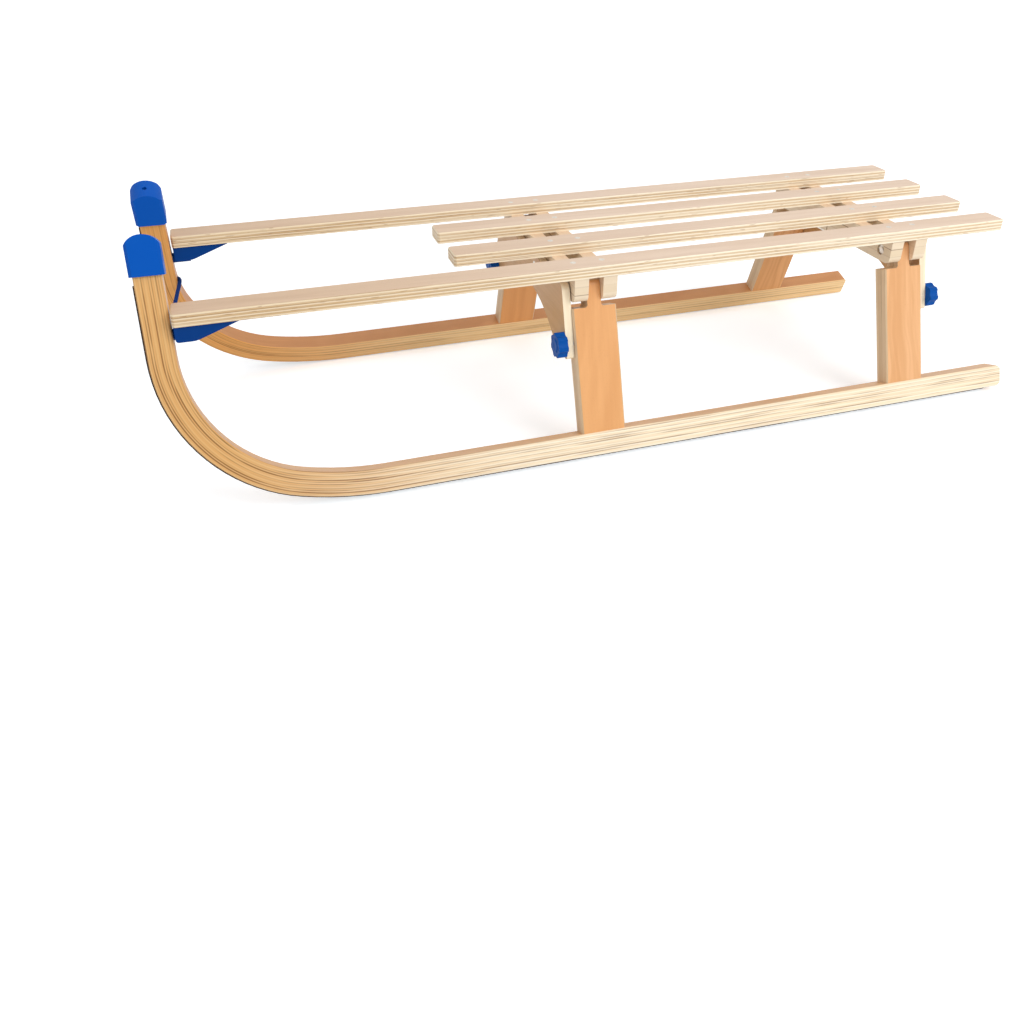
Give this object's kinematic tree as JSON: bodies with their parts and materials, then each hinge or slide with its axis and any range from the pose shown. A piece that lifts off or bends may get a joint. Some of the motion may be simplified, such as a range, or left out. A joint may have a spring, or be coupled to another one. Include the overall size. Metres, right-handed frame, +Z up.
{
  "type": "folding wooden sled",
  "caption": "Slatted wooden sled on two bent runners whose seat folds along its centre line while the splayed leg frames swing out flat.",
  "frame": {"origin": "on the ground under the middle of the sled's bounding box", "axes": "+X forward towards the curls, +Y to the sled's left, +Z up"},
  "size_m": [1.001, 0.3618, 0.2779],
  "materials": {
    "plywood": "clear lacquered beech plywood",
    "runner_ply": "clear lacquered bent laminated beech",
    "board_ply": "clear lacquered thin plywood",
    "beech": "clear lacquered beech",
    "strip_steel": "galvanised",
    "zinc_steel": "zinc plated",
    "blue_plastic": "moulded, slightly glossy"
  },
  "bodies": {
    "left_half": {"left_long_slat": "plywood", "left_short_slat": "plywood", "left_front_crossbar_fore_batten": "plywood", "left_front_crossbar_aft_batten": "plywood", "left_rear_crossbar_fore_batten": "plywood", "left_rear_crossbar_aft_batten": "plywood", "left_front_bracket": "blue_plastic", "left_front_pin": "zinc_steel", "left_front_pivot_bolt": "zinc_steel", "left_rear_pivot_bolt": "zinc_steel", "left_front_hinge_leaf": "zinc_steel", "left_rear_hinge_leaf": "zinc_steel", "front_hinge_pin": "zinc_steel", "rear_hinge_pin": "zinc_steel"},
    "right_half": {"right_long_slat": "plywood", "right_short_slat": "plywood", "right_front_crossbar_fore_batten": "plywood", "right_front_crossbar_aft_batten": "plywood", "right_rear_crossbar_fore_batten": "plywood", "right_rear_crossbar_aft_batten": "plywood", "right_front_bracket": "blue_plastic", "right_front_pin": "zinc_steel", "right_front_pivot_bolt": "zinc_steel", "right_rear_pivot_bolt": "zinc_steel", "right_front_hinge_leaf": "zinc_steel", "right_rear_hinge_leaf": "zinc_steel"},
    "left_frame": {"left_runner": "runner_ply", "left_sole_strip": "strip_steel", "left_curl_cap": "blue_plastic", "left_front_leg": "beech", "left_rear_leg": "beech"},
    "right_frame": {"right_runner": "runner_ply", "right_sole_strip": "strip_steel", "right_curl_cap": "blue_plastic", "right_front_leg": "beech", "right_rear_leg": "beech"},
    "front_board": {"front_bridge_board": "board_ply", "front_board_rivets": "zinc_steel", "front_left_knob": "blue_plastic", "front_right_knob": "blue_plastic"},
    "rear_board": {"rear_bridge_board": "board_ply", "rear_board_rivets": "zinc_steel", "rear_left_knob": "blue_plastic", "rear_right_knob": "blue_plastic"}
  },
  "joints": [
    {"name": "seat_fold", "type": "hinge", "parent": "left_half", "child": "right_half", "pos_m": [0, 0, 0.1655], "axis": [1, 0, 0], "range_deg": [0, 180]},
    {"name": "left_frame_swing", "type": "hinge", "parent": "left_half", "child": "left_frame", "pos_m": [0, 0.109, 0.182], "axis": [1, 0, 0], "range_deg": [0, 71]},
    {"name": "right_frame_swing", "type": "hinge", "parent": "right_half", "child": "right_frame", "pos_m": [0, -0.109, 0.182], "axis": [-1, 0, 0], "range_deg": [0, 71]},
    {"name": "front_board_swing", "type": "hinge", "parent": "left_frame", "child": "front_board", "pos_m": [0.0713, 0.1302, 0.1245], "axis": [1, 0, 0], "range_deg": [0, 56.1]},
    {"name": "rear_board_swing", "type": "hinge", "parent": "left_frame", "child": "rear_board", "pos_m": [-0.3878, 0.1302, 0.1245], "axis": [1, 0, 0], "range_deg": [0, 56.1]}
  ],
  "couplings": [
    {"joint": "left_frame_swing", "follows": "seat_fold", "ratio": 0.39444},
    {"joint": "right_frame_swing", "follows": "seat_fold", "ratio": 0.39444},
    {"joint": "front_board_swing", "follows": "seat_fold", "ratio": 0.31167},
    {"joint": "rear_board_swing", "follows": "seat_fold", "ratio": 0.31167}
  ]
}
